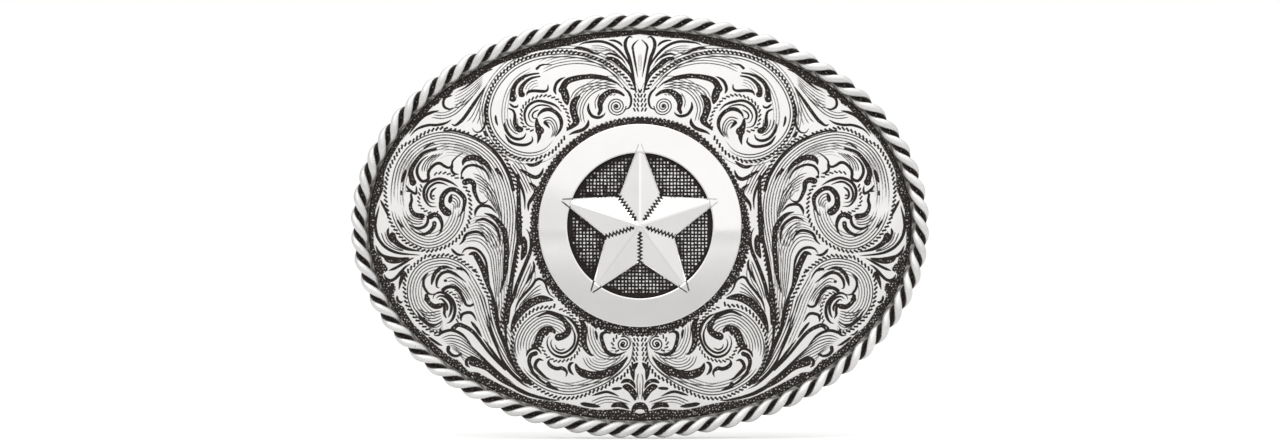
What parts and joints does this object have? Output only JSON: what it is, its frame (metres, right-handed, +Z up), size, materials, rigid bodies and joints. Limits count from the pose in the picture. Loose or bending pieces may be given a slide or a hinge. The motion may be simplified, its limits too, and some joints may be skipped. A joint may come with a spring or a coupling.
{
  "type": "oval plate belt buckle",
  "caption": "Domed oval belt buckle: engraved plate with a twisted rope edge and star medallion, hinged wire bail and hook post behind.",
  "frame": {"origin": "centre of the oval, on the back face of the base plate, where the belt lies", "axes": "+X to the right seen from the front, +Y back towards the wearer, +Z up as worn"},
  "size_m": [0.095, 0.0164, 0.0698],
  "materials": {
    "nickel_silver_back": "brushed nickel silver",
    "engraved_silver": "bright-cut engraving on polished silver, with dark oxidised cuts",
    "polished_silver": "polished silver",
    "rope_silver": "polished silver wire, oxidised between the strands",
    "oxidised_silver": "dark oxidised silver, cross-hatched",
    "bail_wire": "drawn nickel silver wire"
  },
  "bodies": {
    "buckle": {"base_plate": "nickel_silver_back", "face_plate": "engraved_silver", "rope_strand_a": "rope_silver", "rope_strand_b": "rope_silver", "medallion_floor": "oxidised_silver", "medallion_ring": "polished_silver", "star": "polished_silver", "hinge_strip": "nickel_silver_back", "hinge_knuckle_upper": "nickel_silver_back", "hinge_knuckle_lower": "nickel_silver_back", "hook_pad": "nickel_silver_back", "hook_post": "nickel_silver_back"},
    "bail": {"bail": "bail_wire"}
  },
  "joints": [
    {"name": "bail_hinge", "type": "hinge", "parent": "buckle", "child": "bail", "pos_m": [0.0195, 0.007, 0], "axis": [0, 0, 1], "range_deg": [-4, 196]}
  ]
}
